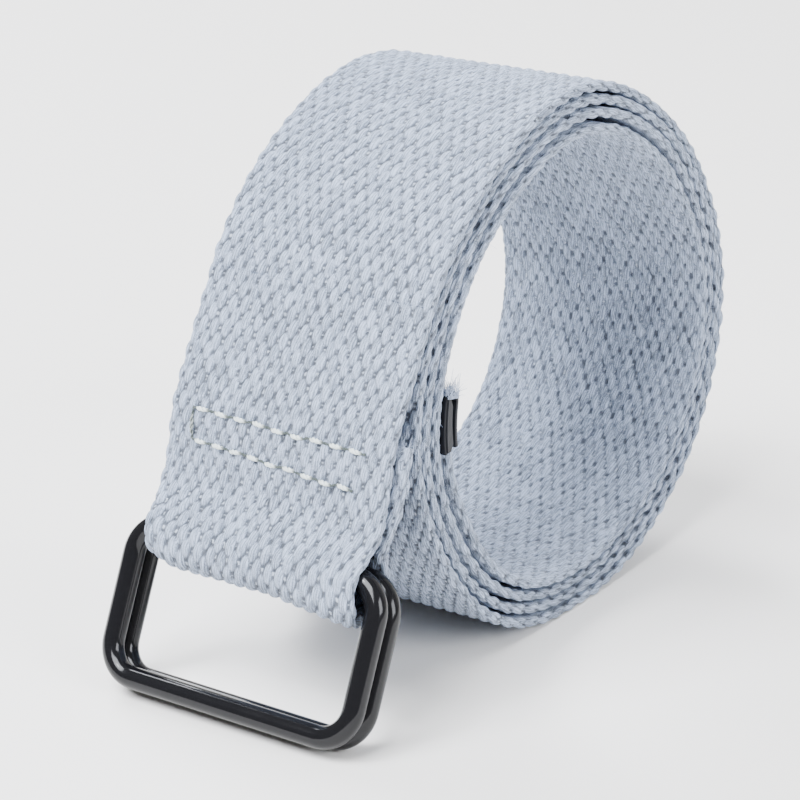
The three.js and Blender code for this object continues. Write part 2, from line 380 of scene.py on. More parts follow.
class Graph:
    """One material's nodes, around one Principled shader."""

    def __init__(self, name):
        self.material = bpy.data.materials.new(name)
        self.material.use_nodes = True
        self.tree = self.material.node_tree
        self.shader = self.tree.nodes["Principled BSDF"]

    def node(self, kind, settings=None, inputs=None):
        made = self.tree.nodes.new(kind)
        for label, setting in (settings or {}).items():
            setattr(made, label, setting)
        for label, given in (inputs or {}).items():
            self.feed(made.inputs[label], given)
        return made

    def feed(self, socket, given):
        """Links a socket to another, or sets its own value."""
        given = given.socket if isinstance(given, Value) else given
        if isinstance(given, bpy.types.NodeSocket):
            self.tree.links.new(given, socket)
        else:
            socket.default_value = given

    def set(self, **sockets):
        """Sets or links the shader's sockets, named with _ for a blank."""
        for label, given in sockets.items():
            self.feed(self.shader.inputs[label.replace("_", " ")], given)

    def stored(self, label):
        """A number stored for each vertex."""
        return Value(self, self.node("ShaderNodeAttribute", {"attribute_name": label}).outputs["Fac"])

    def object_place(self):
        return self.node("ShaderNodeTexCoord").outputs["Object"]

    def cloth_place(self):
        return self.node("ShaderNodeUVMap", {"uv_map": "cloth"}).outputs["UV"]

    def scaled(self, place, scale):
        made = self.node("ShaderNodeVectorMath", {"operation": "MULTIPLY"}, {0: place, 1: scale})
        return made.outputs["Vector"]

    def noise(self, place, scale, detail=2.0, roughness=0.5):
        made = self.node(
            "ShaderNodeTexNoise", None,
            {"Vector": place, "Scale": scale, "Detail": detail, "Roughness": roughness},
        )
        return Value(self, made.outputs["Fac"])

    def mixed(self, factor, first, second):
        """A colour from first to second by the factor."""
        made = self.node(
            "ShaderNodeMix", {"data_type": "RGBA"}, {0: factor, 6: as_colour(first), 7: as_colour(second)}
        )
        return made.outputs[2]

    def bump(self, height, distance, strength=1.0):
        inputs = {"Height": height, "Distance": distance, "Strength": strength}
        return self.node("ShaderNodeBump", None, inputs).outputs["Normal"]


def as_colour(value):
    """A socket as it is, or three numbers with an alpha of 1."""
    return value if isinstance(value, bpy.types.NodeSocket) else (*value[:3], 1.0)


def webbing_material(look):
    """Matt cotton: blue-grey floats with painted shade where the weave is hollow, and fine yarn lines along the
    strap whose ply stripes are painted shade and highlight.
    """
    graph = Graph("webbing cotton")
    place = graph.cloth_place()
    hollow, tone = graph.stored("hollow"), graph.stored("tone")
    parted = graph.node("ShaderNodeSeparateXYZ", None, {0: place})
    girth, distance = Value(graph, parted.outputs["X"]), Value(graph, parted.outputs["Y"])
    yarn = graph.noise(graph.scaled(place, (300.0, 42.0, 1.0)), 1.0, 2.0, 0.6)
    turns = (girth - distance * PLY_SLOPE) * (CLOTH_UNIT / look.ply_spacing * MM) + tone * 3.0 + yarn * 2.2
    ply = (turns * (2 * np.pi)).maths("SINE")
    fuzz = graph.noise(graph.scaled(place, (900.0, 500.0, 1.0)), 1.0, 2.0, 0.65)
    patch = graph.noise(place, 12.0, 2.0)
    # Painted shade: depth darkens the cloth toward the hollows' colour where the weave is deep and the floats
    # shade each other.
    depth = hollow.between(0.36, 0.80)
    speck = tone.between(0.88, 1.0) * (1.0 - hollow.between(0.5, 0.8))
    # Painted light: the ply term lays painted shade in the grooves and painted highlight on the ridges of the
    # twisted plies; tone, yarn, fuzz and patch are the yarns' own random tone.
    light = (tone - 0.45) * 0.5 + ply * 0.34 + (yarn - 0.5) * 1.6 + (fuzz - 0.5) * 1.6 + (patch - 0.5) * 0.2
    cloth = graph.mixed((0.58 + light).clamped(), look.shade_colour, look.cloth_colour)
    shaded = graph.mixed(depth * 0.93, cloth, look.painted_pit_shade)
    colour = graph.mixed(speck * 0.8, shaded, look.speck_colour)
    graph.set(
        Base_Color=colour,
        Roughness=0.88 + 0.08 * fuzz,
        Normal=graph.bump(ply * 0.3 + yarn * 0.8 + fuzz * 0.6, 0.00022, 1.0),
        Sheen_Weight=0.18,
        Sheen_Roughness=0.45,
        Specular_IOR_Level=0.25,
    )
    return graph.material


def thread_material(name, light, shade):
    """Fine yarn, a little glossy, from light to shade by how deep it lies in the cloth; on the stitches that
    shade is painted shade, where the thread dips into the cloth and on the plies' inner sides.
    """
    graph = Graph(name)
    place = graph.object_place()
    hollow = graph.stored("hollow")
    fine = graph.noise(place, 5200.0, 2.0)
    # Painted shade: on the stitches, hollow darkens the thread where it dips into the cloth and on each ply's
    # inner side.
    colour = graph.mixed((hollow * 0.97 + (fine - 0.5) * 0.3).clamped(), light, shade)
    graph.set(
        Base_Color=colour,
        Roughness=0.45 + 0.2 * fine,
        Normal=graph.bump(fine, 0.00004),
        Sheen_Weight=0.2,
    )
    return graph.material


def wire_material(look):
    """Black enamel on steel wire: glossy, with faint waves and a little dust in the coat."""
    graph = Graph("black enamel")
    place = graph.object_place()
    waves = graph.noise(place, 260.0, 2.0)
    dust = graph.noise(place, 2600.0, 3.0, 0.7)
    colour = graph.mixed(dust.between(0.55, 0.8) * 0.35, look.wire_colour, look.wire_dust)
    graph.set(
        Base_Color=colour,
        Roughness=0.09 + 0.06 * waves + 0.03 * dust,
        Normal=graph.bump(waves + 0.1 * dust, 0.00004, 0.4),
        Specular_IOR_Level=0.30,
    )
    return graph.material


def tip_material(look):
    """Blackened steel sheet, lightly brushed across, with paler worn patches."""
    graph = Graph("blackened steel")
    place = graph.object_place()
    brushed = graph.noise(graph.scaled(place, (0.12, 1.0, 1.0)), 2400.0, 3.0, 0.6)
    worn = graph.noise(place, 420.0, 3.0, 0.6)
    colour = graph.mixed(worn.between(0.58, 0.8) * 0.4, look.tip_colour, look.tip_worn)
    graph.set(
        Base_Color=colour,
        Roughness=0.30 + 0.16 * brushed,
        Normal=graph.bump(brushed, 0.00003, 0.6),
        Metallic=0.75,
    )
    return graph.material


def floor_material(look):
    """Plain pale floor with the faintest unevenness."""
    graph = Graph("pale floor")
    patch = graph.noise(graph.object_place(), 6.0, 2.0)
    graph.set(
        Base_Color=graph.mixed(patch, look.floor_colour, [0.985 * part for part in look.floor_colour]),
        Roughness=0.6 + 0.1 * patch,
        Specular_IOR_Level=0.2,
    )
    return graph.material


# Weave

# The yarns' plies slant by PLY_SLOPE. A side of the strap with fewer columns than FINE_COLUMNS is hidden in the
# roll, and lies flat at COARSE_HEIGHT. The floats' and the weft's reaches are shares of the floats' spacings.
# The weave of the inner face is moved by INNER_OFFSET, in millimetres.
PLY_SLOPE = 0.10
FINE_COLUMNS = 60
COARSE_HEIGHT = 0.7
FLOAT_REACH = (0.84, 0.43)
FLOAT_BLUNTNESS = 0.75
WEFT_REACH = (0.30, 0.07)
WEFT_HEIGHT = 0.50
INNER_OFFSET = (0.5, 1.1)
TABLE_COLUMNS, TABLE_ROWS = 64, 512
RELIEF_SEED = 41
RELIEF_TABLE = np.random.default_rng(RELIEF_SEED).normal(size=(TABLE_COLUMNS, TABLE_ROWS, 5)).clip(-2, 2)

# The cloth's full thickness on the front run, at most in the roll and at the tip, and the air between turns.
FRONT_THICKNESS = 1.94
ROLL_THICKNESS = 1.70
TIP_THICKNESS = 1.64
TURN_AIR = 0.2

# How far the rings squeeze each edge in, and how far the cloth lies off its line at the loop and the tail.
RING_SQUEEZE = 1.5
NEAR_DROOP = 1.25
FAR_LIFT = 1.1
NEAR_OUT = 1.15
NEAR_IN = 0.9
FAR_OUT = 1.0
TAIL_ASIDE = 1.3


def float_relief(across, along, look):
    """Height of the cloth's face, 0 in a hollow and 1 on top of a float, and a tone for each float. Floats are
    blunt ellipsoids on a brick lattice: column i lies at i·pitch, its float j at (j + i/2)·length, and the
    height is the greatest of (1 - (dx/a)^2 - (ds/b)^2)^bluntness over the two nearest columns, each float a
    little moved, slanted and higher or lower. Between the ends of two floats a small weft crossing,
    h·sqrt(1 - (dx/c)^2 - (gap/d)^2), lies deep in the hollow."""
    pitch, length = look.float_pitch / MM, look.float_length / MM
    column_place, row_place = across / pitch, along / length
    first = np.floor(column_place).astype(int)
    best, best_tone = np.zeros_like(column_place), np.full_like(column_place, 0.5)
    for shift in (0, 1):
        column = first + shift
        stagger = 0.5 * (column % 2)
        row = np.round(row_place - stagger).astype(int)
        jitter = RELIEF_TABLE[column % TABLE_COLUMNS, row % TABLE_ROWS]
        dx = column_place - column - 0.05 * jitter[..., 0]
        ds = row_place - stagger - row - 0.035 * jitter[..., 1]
        slant = 0.16 * ds * (1 + 0.6 * jitter[..., 4])
        inside = 1 - np.abs((dx - slant) / FLOAT_REACH[0]) ** 2 - np.abs(ds / FLOAT_REACH[1]) ** 2
        height = (1 + 0.07 * jitter[..., 2]) * np.maximum(inside, 0) ** FLOAT_BLUNTNESS
        crossing = 1 - (dx / WEFT_REACH[0]) ** 2 - ((0.5 - np.abs(ds)) / WEFT_REACH[1]) ** 2
        weft = WEFT_HEIGHT * np.sqrt(np.maximum(crossing, 0))
        best_tone = np.where(height > best, np.clip(0.45 + 0.2 * jitter[..., 3], 0, 0.85), best_tone)
        best = np.maximum(best, height)
        best_tone = np.where(weft > best, 1.0, best_tone)
        best = np.maximum(best, weft)
    return np.clip(best, 0, 1.15), best_tone


def half_width(distance):
    """Half the webbing's width, squeezed where it goes through the rings."""
    away = np.maximum(0, np.maximum(LOOP_START - distance, distance - LOOP_END))
    return STRAP_WIDTH / 2 - RING_SQUEEZE * (1 - smoothstep(away, 1.5, 8.0))


def half_thickness(distance):
    """Half the webbing's thickness: full on the front run, and no more than the turns' spacing in the roll."""
    in_roll = 0.5 * np.minimum(turn_spacing(angle_at(distance)) - TURN_AIR, ROLL_THICKNESS)
    flat = np.full_like(distance, FRONT_THICKNESS / 2)
    near_tip = smoothstep(distance, STRAP_LENGTH - 26, STRAP_LENGTH - 14)
    rolled = smoothstep(distance, ROLL_START - 6, ROLL_START + 14)
    return flat * (1 - rolled) + in_roll * rolled * (1 - near_tip) + TIP_THICKNESS / 2 * near_tip


def strap_shift(distance, across):
    """How far the cloth lies off its line, in x and down along the rings. The loop hangs lower at its near end,
    where its edge stands out below and is drawn in above. At its far end it is drawn up and stands out. The
    tail stands a little out sideways, and the whole strap wanders a little."""
    entered = smoothstep(distance, LOOP_START + 2, LOOP_START + 8)
    in_loop = entered * (1 - smoothstep(distance, LOOP_END, LOOP_END + 8))
    low = NEAR_DROOP * smoothstep(across, 2, 17) - FAR_LIFT * smoothstep(-across, 13, 18)
    tail = 1.0 - smoothstep(distance, 3, LOOP_START)
    wander = 0.22 * np.sin(distance / 31) + 0.16 * np.sin(distance / 13 + 1)
    near_out = NEAR_OUT * np.exp(-((distance - LOOP_END + 1.2) / 3.2) ** 2)
    near_in = NEAR_IN * np.exp(-((distance - LOOP_END + 9) / 2.6) ** 2)
    far_out = FAR_OUT * np.exp(-((distance - LOOP_END - 1) / 3.5) ** 2)
    near, far = smoothstep(across, 6, 17), smoothstep(-across, 6, 17)
    return TAIL_ASIDE * tail + wander + near * (near_out - near_in) - far * far_out, in_loop * low


def webbing(name, start, end, row_step, face_columns, back_columns, material, look, worn):
    """A stretch of the strap as a closed surface. At distance s and profile place (t, phi) the base point is
    line(s) + normal(s)·H·cos(phi), with x = t (W - r) + r·sin(phi), and the weave sinks it along its own normal
    by depth·(1 - height). worn is the share of the relief that is pressed flat."""
    edge_columns = 11
    rows = int(round((end - start) / row_step)) + 1
    distance = np.linspace(start, end, rows)
    normal = heading(distance, 0.25)[1]
    middle = at_distance(LINE, distance)
    face = np.linspace(-1, 1, face_columns, endpoint=False)
    back = np.linspace(1, -1, back_columns, endpoint=False)
    turn = np.linspace(0, np.pi, edge_columns, endpoint=False)
    t = np.concatenate([face, np.ones(edge_columns), back, -np.ones(edge_columns)])[None]
    phi = np.concatenate([np.zeros(face_columns), turn, np.full(back_columns, np.pi), np.pi + turn])[None]
    s = distance[:, None]
    wide, thick = half_width(s), half_thickness(s)
    edge = 0.95 * thick
    reach = t * (wide - edge)
    beyond = np.where(phi <= np.pi, phi, 2 * np.pi - phi)
    outer, outer_tone = float_relief(reach + np.sign(t) * edge * beyond, s + 0 * t, look)
    inner, inner_tone = float_relief(
        reach + np.sign(t) * edge * (np.pi - beyond) + INNER_OFFSET[0], s + INNER_OFFSET[1] + 0 * t, look
    )
    share = smoothstep(np.cos(phi), -0.35, 0.35)
    height = outer * share + inner * (1 - share)
    tone = outer_tone * share + inner_tone * (1 - share)
    flat = np.abs(t) < 0.999
    coarse_back = (phi == np.pi) & (back_columns < FINE_COLUMNS)
    coarse_face = (phi == 0) & (face_columns < FINE_COLUMNS)
    height = np.where(flat & (coarse_back | coarse_face), COARSE_HEIGHT, height)
    height = 1 - (1 - worn) * (1 - height)
    depth = look.relief_depth / MM
    sink = depth * (1 - height)
    x = reach + edge * np.sin(phi) - sink * np.sin(phi)
    n = thick * np.cos(phi) - sink * np.cos(phi)
    sideways, lower = strap_shift(s, x)
    y = middle[:, :1] + normal[:, :1] * n + lower * DOWN_RINGS[0]
    z = middle[:, 1:] + normal[:, 1:] * n + lower * DOWN_RINGS[1]
    points = np.stack([x + sideways, y, np.maximum(z, FLOOR_CLEARANCE)], -1).reshape(-1, 3)
    columns = t.shape[1]
    quads = grid_quads(rows, columns)
    count = len(points)
    centres = points.reshape(rows, columns, 3)[[0, -1]].mean(axis=1)
    points = np.concatenate([points, centres])
    ends = end_fans(count, columns)
    profile = np.stack([reach[0] + edge[0] * np.sin(phi[0]), thick[0] * np.cos(phi[0])], -1)
    girth = lengths_along(profile)
    girth = np.append(girth, girth[-1] + 0.3)
    row, column = np.meshgrid(np.arange(rows - 1), np.arange(columns), indexing="ij")
    corner_uv = np.stack([
        np.stack([girth[column + right], distance[row + up]], -1)
        for right, up in ((0, 0), (1, 0), (1, 1), (0, 1))
    ], 2).reshape(-1, 2)
    uv = np.concatenate([corner_uv, np.zeros((len(ends) * 3, 2))]) / CLOTH_UNIT
    # hollow, one less the relief's height, is the mask of the painted shade in the weave's hollows.
    values = {
        "hollow": np.append(1 - height.ravel(), [0.6, 0.6]),
        "tone": np.append(tone.ravel(), [0.5, 0.5]),
    }
    piece = add_piece(name, points, quads, ends, material, uv, values)
    mark_ends(piece, count, columns)
    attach(piece, "belt")
    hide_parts("strap")
    (end - start) * MM


def mark_ends(piece, count, columns):
    """Keeps the flat end faces from rounding the shading of the strap's first and last rows."""
    mesh = piece.data
    pairs = np.empty(len(mesh.edges) * 2, np.int32)
    mesh.edges.foreach_get("vertices", pairs)
    pairs = pairs.reshape(-1, 2)
    first = (pairs < columns).all(axis=1)
    last = ((pairs >= count - columns) & (pairs < count)).all(axis=1)
    sharp = mesh.attributes.get("sharp_edge") or mesh.attributes.new("sharp_edge", "BOOLEAN", "EDGE")
    sharp.data.foreach_set("value", first | last)


# Settings


class BeltClothLook(bpy.types.PropertyGroup):
    cloth_colour: FloatVectorProperty(
        name="Cloth", description="Colour of the lighter yarns", subtype="COLOR", min=0, max=1,
        default=(0.47, 0.56, 0.735),
    )
    shade_colour: FloatVectorProperty(
        name="Cloth shade", description="Colour of the darker yarns", subtype="COLOR", min=0, max=1,
        default=(0.158, 0.190, 0.248),
    )
    # Painted shade: the weave darkens toward this colour in its hollows, where the floats shade each other.
    painted_pit_shade: FloatVectorProperty(
        name="Hollows", description="Colour deep in the weave", subtype="COLOR", min=0, max=1,
        default=(0.092, 0.108, 0.138),
    )
    speck_colour: FloatVectorProperty(
        name="Weft", description="Colour of the weft where it shows between the floats", subtype="COLOR",
        min=0, max=1, default=(0.60, 0.68, 0.80),
    )
    thread_colour: FloatVectorProperty(
        name="Thread", description="Colour of the stitching", subtype="COLOR", min=0, max=1,
        default=(0.72, 0.79, 0.77),
    )
    # Painted shade: the stitches darken to this where the thread dips into the cloth, on each ply's inner side
    # and along the left column.
    thread_shade: FloatVectorProperty(
        name="Thread shade", description="Colour of the thread where it enters the cloth", subtype="COLOR",
        min=0, max=1, default=(0.018, 0.032, 0.027),
    )
    float_pitch: FloatProperty(
        name="Float spacing", description="Distance between columns of floats", default=1.0 * MM, unit="LENGTH"
    )
    float_length: FloatProperty(
        name="Float length", description="Distance between floats along the strap", default=3.7 * MM,
        unit="LENGTH",
    )
    relief_depth: FloatProperty(
        name="Relief", description="Depth of the hollows between the floats", default=0.54 * MM, unit="LENGTH"
    )
    ply_spacing: FloatProperty(
        name="Ply spacing", description="Distance between the twisted plies of the yarns", default=0.4 * MM,
        unit="LENGTH",
    )


class BeltMetalLook(bpy.types.PropertyGroup):
    wire_colour: FloatVectorProperty(
        name="Enamel", description="Colour of the rings", subtype="COLOR", min=0, max=1,
        default=(0.005, 0.005, 0.006),
    )
    wire_dust: FloatVectorProperty(
        name="Enamel specks", description="Colour of specks in the coat", subtype="COLOR", min=0, max=1,
        default=(0.012, 0.012, 0.014),
    )
    tip_colour: FloatVectorProperty(
        name="Tip", description="Colour of the end tip", subtype="COLOR", min=0, max=1,
        default=(0.016, 0.017, 0.020),
    )
    tip_worn: FloatVectorProperty(
        name="Tip wear", description="Colour of the end tip where it is worn", subtype="COLOR", min=0, max=1,
        default=(0.07, 0.07, 0.08),
    )
    wire_diameter: FloatProperty(
        name="Wire", description="Diameter of the rings' wire", default=3.25 * MM, unit="LENGTH"
    )
    ring_shift: FloatProperty(
        name="Ring shift", description="How far both rings lie off the strap's middle", default=-0.2 * MM,
        unit="LENGTH",
    )


class BeltStageLook(bpy.types.PropertyGroup):
    floor_colour: FloatVectorProperty(
        name="Floor", description="Colour of the floor", subtype="COLOR", min=0, max=1,
        default=(0.90, 0.877, 0.842),
    )
    lens: FloatProperty(name="Lens", description="Focal length", default=121.5, unit="CAMERA")
    azimuth: FloatProperty(
        name="Azimuth", description="Direction that the camera looks from", default=np.radians(34.61),
        unit="ROTATION",
    )
    elevation: FloatProperty(
        name="Elevation", description="Height of the camera's view", default=np.radians(19.66),
        unit="ROTATION",
    )
    key_power: FloatProperty(
        name="Key light", description="Power of the large light", default=54.0, unit="POWER"
    )
    side_power: FloatProperty(
        name="Side light", description="Power of the right light", default=15.0, unit="POWER"
    )
    back_power: FloatProperty(
        name="Back light", description="Power of the left light", default=27.0, unit="POWER"
    )
    glint_power: FloatProperty(name="Glint", description="Power of the small light", default=3.0, unit="POWER")


# Operators

# The stage, in metres.
CAMERA_PLACE = (0.210667, -0.315280, 0.167796)
LIGHT_TARGET = (0, 0, 0.03)
LIGHT_COLOUR = (0.96, 0.99, 1.05)
WORLD_COLOUR = (0.93, 0.93, 0.93, 1)
WORLD_STRENGTH = 0.4

# The floor, the rings' steps and the tip's plates, in millimetres.
FLOOR_REACH = 3000
SWEEP_START = 1200
SWEEP_RADIUS = 600
RING_STEPS = 240
WIRE_SIDES = 40
TIP_WIDTH = 38.6
TIP_SHEET = 0.6
TIP_RIM = 0.16
SIDE_INNER = 19.15
SIDE_OUTER = 19.45
SIDE_STEPS = 24

# The box of stitches, its corners as (x, height above the floor), in millimetres.
STITCH_CORNERS = ((-14.7, 39.7), (14.9, 39.0), (-14.2, 35.6), (13.6, 33.9))
STITCHES_IN_ROW = 9
STITCH_STEPS = 25
THREAD_SIDES = 8
STITCH_SEED = 7

# The loose fibres, in millimetres. The hairs start HAIR_START behind the loop, clear of the rings' swing, and
# end HAIR_END before the strap's end.
FIBRE_SIDE = np.array([[0.31, 0.21, 0.93]])
FIBRE_STEPS = 6
FRAY_RADIUS = 0.055
FRAY_SEED = 11
HAIR_RADIUS = 0.022
HAIR_COUNT = 620
HAIR_START = 28
HAIR_END = 13
HAIR_SEED = 12


def tube_piece(name, parts, material, body, values=None):
    """A piece made of tubes that rides on one body."""
    points, quads, triangles = gather(parts)
    piece = add_piece(name, points, quads, triangles, material, None, values)
    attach(piece, body)
    return piece


class BELT_OT_stage(bpy.types.Operator):
    """Adds the camera, the pale floor and the soft lights"""

    bl_idname = "belt.stage"
    bl_label = "Stage"

    def execute(self, context):
        look = context.scene.belt_stage
        a, e = look.azimuth, look.elevation
        right = Vector((np.cos(a), np.sin(a), 0))
        ahead = Vector((-np.sin(a) * np.cos(e), np.cos(a) * np.cos(e), -np.sin(e)))
        up = right.cross(ahead)
        lens = bpy.data.cameras.new("camera")
        lens.lens, lens.sensor_width, lens.clip_start = look.lens, 36, 0.01
        camera = bpy.data.objects.new("camera", lens)
        camera.matrix_world = Matrix((
            (right.x, up.x, -ahead.x, CAMERA_PLACE[0]),
            (right.y, up.y, -ahead.y, CAMERA_PLACE[1]),
            (right.z, up.z, -ahead.z, CAMERA_PLACE[2]),
            (0, 0, 0, 1),
        ))
        context.scene.collection.objects.link(camera)
        context.scene.camera = camera
        self.lights(context, look)
        self.floor(context, look)
        return {"FINISHED"}

    def lights(self, context, look):
        target = Vector(LIGHT_TARGET)
        for label, place, size, power in (
            ("key light", (-0.15, -0.70, 1.15), 0.9, look.key_power),
            ("side light", (1.05, -0.10, 0.60), 0.6, look.side_power),
            ("back light", (-0.90, 0.50, 0.90), 0.6, look.back_power),
            ("glint", (-0.25, -0.60, 0.95), 0.10, look.glint_power),
        ):
            lamp = bpy.data.lights.new(label, "AREA")
            lamp.shape, lamp.size, lamp.energy, lamp.color = "SQUARE", size, power, LIGHT_COLOUR
            holder = bpy.data.objects.new(label, lamp)
            holder.location = place
            holder.rotation_euler = (target - Vector(place)).to_track_quat("-Z", "Y").to_euler()
            context.scene.collection.objects.link(holder)
        world = bpy.data.worlds.new("soft room")
        world.use_nodes = True
        background = world.node_tree.nodes["Background"]
        background.inputs["Color"].default_value = WORLD_COLOUR
        background.inputs["Strength"].default_value = WORLD_STRENGTH
        context.scene.world = world

    def floor(self, context, look):
        """Sweep: flat to y = 1.2 m, then a quarter circle of 0.6 m up to a wall, 6 m wide."""
        bend = np.linspace(-np.pi / 2, 0, 24)
        along, up = SWEEP_START + SWEEP_RADIUS * np.cos(bend), SWEEP_RADIUS + SWEEP_RADIUS * np.sin(bend)
        profile = np.concatenate([
            [(-FLOOR_REACH, 0)], np.stack([along, up], -1), [(SWEEP_START + SWEEP_RADIUS, FLOOR_REACH)],
        ])
        points = np.concatenate([
            np.column_stack([np.full(len(profile), x), profile]) for x in (-FLOOR_REACH, FLOOR_REACH)
        ])
        count = len(profile)
        index = np.arange(count - 1)
        quads = np.stack([index, index + count, index + count + 1, index + 1], -1)
        floor = add_piece("floor", points, quads, np.zeros((0, 3), int), floor_material(look))


class BELT_OT_webbing(bpy.types.Operator):
    """Builds the woven strap: the fold round the rings, the front run and the turns of the roll"""

    bl_idname = "belt.webbing"
    bl_label = "Webbing"

    def execute(self, context):
        look = context.scene.belt_cloth
        material = webbing_material(look)
        top, under, hidden, inside = ROLL_START, distance_at(190), distance_at(400), distance_at(1080)
        for name, start, end, row_step, face_columns, back_columns, worn in (
            ("webbing_front", 0, top, 0.31, 190, 74, 0.0),
            ("webbing_top", top, under, 0.33, 190, 34, 0.0),
            ("webbing_under", under, hidden, 0.41, 190, 34, 0.0),
            ("webbing_middle", hidden, inside, 0.6, 26, 26, 0.0),
            ("webbing_inner", inside, TIP_FOLD - 0.2, 0.55, 34, 170, 0.05),
        ):
            webbing(name, start, end, row_step, face_columns, back_columns, material, look, worn)
        return {"FINISHED"}


class BELT_OT_rings(bpy.types.Operator):
    """Builds the two wire rings"""

    bl_idname = "belt.rings"
    bl_label = "Rings"

    def execute(self, context):
        look = context.scene.belt_metal
        material = wire_material(look)
        for name, node, body, bar in (
            ("wire_ring_front", "ring_front", "front_ring", FRONT_BAR),
            ("wire_ring_back", "ring_back", "back_ring", BACK_BAR),
        ):
            path = self.outline(look.wire_diameter / MM)
            place = bar + path[:, 1:] * DOWN_RINGS
            around = np.column_stack([path[:, 0] + look.ring_shift / MM, place])
            facing = np.broadcast_to(np.array([0, *FRONT_NORMAL]), around.shape)
            wire = tube(around, facing, look.wire_diameter / MM / 2, WIRE_SIDES, True)
            piece = tube_piece(name, [wire], material, body)
            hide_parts(node)
        return {"FINISHED"}

    def outline(self, diameter):
        """A rectangle with round corners as (x, distance below the bar), evenly spaced. Its low bar is raised
        by half of what the wire is thicker than the part's, so that the ring still stands on the floor."""
        reach, low = RING_WIDTH / 2 - RING_CORNER, RING_HEIGHT - RING_CORNER - (diameter - WIRE) / 2
        corners = ((reach, RING_CORNER, -90), (reach, low, 0), (-reach, low, 90), (-reach, RING_CORNER, 180))
        dense = np.concatenate([arc(np.array([x, d]), RING_CORNER, a, a + 90, 40) for x, d, a in corners])
        dense = np.concatenate([dense, dense[:1]])
        length = lengths_along(dense)[-1]
        return at_distance(dense, np.linspace(0, length, RING_STEPS, endpoint=False))


class BELT_OT_tip(bpy.types.Operator):
    """Builds the folded metal tip on the strap's end"""

    bl_idname = "belt.tip"
    bl_label = "End tip"

    def execute(self, context):
        look = context.scene.belt_metal
        distance = np.linspace(TIP_START, TIP_FOLD, 40)
        middle = at_distance(LINE, distance)
        ahead = tangents(middle)
        outward = np.stack([-ahead[:, 1], ahead[:, 0]], -1)
        angle = np.degrees(np.arctan2(outward[-1, 1], outward[-1, 0]))
        line = np.concatenate([
            (middle + TIP_OFFSET * outward)[:-1],
            arc(middle[-1], TIP_OFFSET, angle, angle - 180, 24),
            (middle - TIP_OFFSET * outward)[:-1][::-1],
        ])
        forward = tangents(line)
        across = np.stack([-forward[:, 1], forward[:, 0]], -1)
        reach, half, rim = TIP_WIDTH / 2, TIP_SHEET / 2, TIP_RIM
        turn = np.linspace(0, np.pi / 2, 5)
        corner = [(reach - rim + rim * np.sin(a), half - rim + rim * np.cos(a)) for a in turn]
        outline = np.array([
            *((-x, n) for x, n in corner[::-1]), *corner,
            *((x, -n) for x, n in corner[::-1]), *((-x, -n) for x, n in corner),
        ])
        points = np.stack([
            np.broadcast_to(outline[None, :, 0], (len(line), len(outline))),
            line[:, :1] + across[:, :1] * outline[None, :, 1],
            line[:, 1:] + across[:, 1:] * outline[None, :, 1],
        ], -1)
        rows, columns = points.shape[:2]
        count = rows * columns
        points = np.concatenate([points.reshape(-1, 3), points[[0, -1]].mean(axis=1)])
        plates = [(points, grid_quads(rows, columns), end_fans(count, columns)), self.side_plate()]
        piece = add_piece("folded_tip", *gather(plates), tip_material(look))
        piece.data.set_sharp_from_angle(angle=np.radians(40))
        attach(piece, "belt")
        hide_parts("end_tip")
        return {"FINISHED"}

    def side_plate(self):
        """The outer leaf's near side, bent over the cloth's edge: a strip of constant thickness whose two lower
        corners are cut off, and which narrows a little from the open end to the fold."""
        distance = np.linspace(TIP_START + 0.2, TIP_FOLD + 0.6, SIDE_STEPS)
        taper = np.linspace(0, 1, SIDE_STEPS)
        low = -0.2 + 0.35 * taper + 0.5 * smoothstep(taper, 0.85, 1) + 0.6 * smoothstep(-taper, -0.12, 0)
        corners = [(SIDE_INNER, 1.5, 0), (SIDE_OUTER, 1.42, 0), (SIDE_OUTER, 0.08, 1), (SIDE_INNER, 0, 1)]
        rows = []
        for across, out, is_low in corners:
            height = low + out if is_low else np.full(SIDE_STEPS, out - 0.15)
            rows.append(strap_point(distance, np.full(SIDE_STEPS, across), height)[0])
        points = np.stack(rows, 1).reshape(-1, 3)
        points = np.concatenate([points, points[:4].mean(axis=0)[None], points[-4:].mean(axis=0)[None]])
        return points, grid_quads(SIDE_STEPS, 4), end_fans(SIDE_STEPS * 4, 4)


def front_place(across, height):
    """Point and directions of the front run's outer face at an x and a height above the floor."""
    part = (LINE_LENGTHS > LOOP_END) & (LINE_LENGTHS < ROLL_START)
    distance = np.interp(height, LINE[part][:, 1], LINE_LENGTHS[part])
    outward = heading(distance)[1]
    face = at_distance(LINE, distance) + outward * half_thickness(distance)[:, None]
    return np.column_stack([across, face]), np.column_stack([np.zeros(len(across)), outward])


